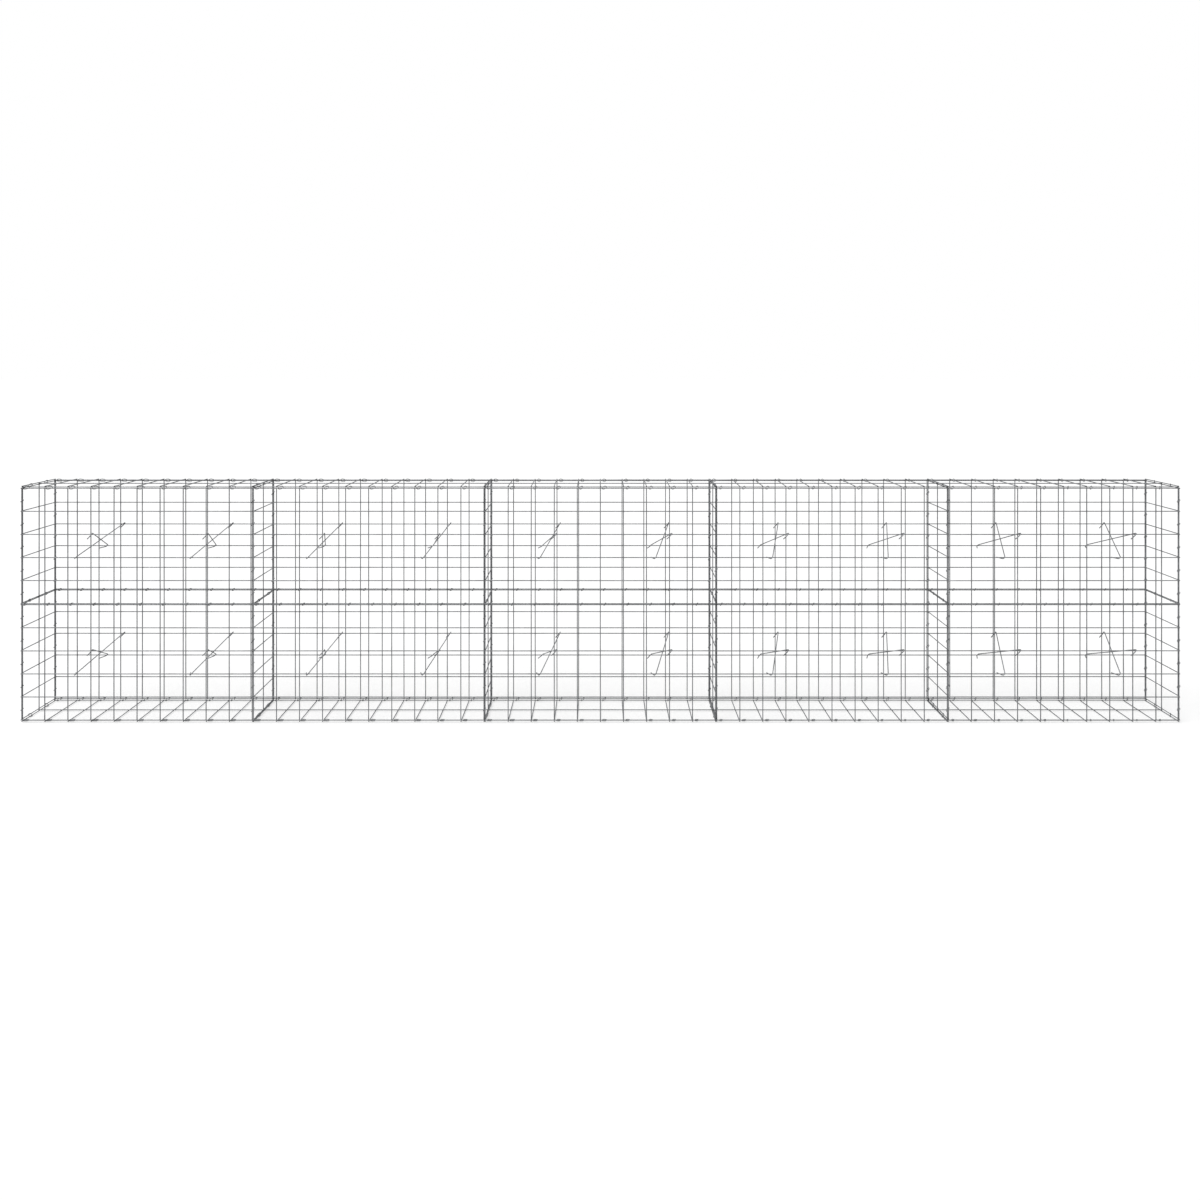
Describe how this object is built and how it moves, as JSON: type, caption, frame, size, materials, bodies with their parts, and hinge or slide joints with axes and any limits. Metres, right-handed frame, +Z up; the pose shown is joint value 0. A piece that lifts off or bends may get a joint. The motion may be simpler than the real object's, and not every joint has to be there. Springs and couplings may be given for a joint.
{
  "type": "gabion wall",
  "caption": "Long narrow wall of empty welded wire mesh cages with covers, dividers, bracing ties and ringed edges, ready to be filled with stone.",
  "frame": {"origin": "middle of the wall's length and depth, on the ground", "axes": "+X along the wall, front face towards -Y, +Z up"},
  "size_m": [5.042, 0.2294, 1.0309],
  "materials": {
    "mesh_wire": "galvanised drawn wire, dull satin",
    "tie_wire": "galvanised wire, dull satin",
    "ring_wire": "galvanised ring wire, dull satin"
  },
  "bodies": {
    "root": {"front_lower_1": "mesh_wire", "front_lower_2": "mesh_wire", "front_lower_3": "mesh_wire", "front_lower_4": "mesh_wire", "front_lower_5": "mesh_wire", "front_upper_1": "mesh_wire", "front_upper_2": "mesh_wire", "front_upper_3": "mesh_wire", "front_upper_4": "mesh_wire", "front_upper_5": "mesh_wire", "back_lower_1": "mesh_wire", "back_lower_2": "mesh_wire", "back_lower_3": "mesh_wire", "back_lower_4": "mesh_wire", "back_lower_5": "mesh_wire", "back_upper_1": "mesh_wire", "back_upper_2": "mesh_wire", "back_upper_3": "mesh_wire", "back_upper_4": "mesh_wire", "back_upper_5": "mesh_wire", "end_left": "mesh_wire", "end_right": "mesh_wire", "divider_1": "mesh_wire", "divider_2": "mesh_wire", "divider_3": "mesh_wire", "divider_4": "mesh_wire", "base_1": "mesh_wire", "base_2": "mesh_wire", "base_3": "mesh_wire", "base_4": "mesh_wire", "base_5": "mesh_wire", "cover_1": "mesh_wire", "cover_2": "mesh_wire", "cover_3": "mesh_wire", "cover_4": "mesh_wire", "cover_5": "mesh_wire", "ties_lower": "tie_wire", "ties_upper": "tie_wire", "rings_top": "ring_wire", "rings_middle": "ring_wire", "rings_base": "ring_wire", "rings_uprights": "ring_wire"}
  },
  "joints": []
}
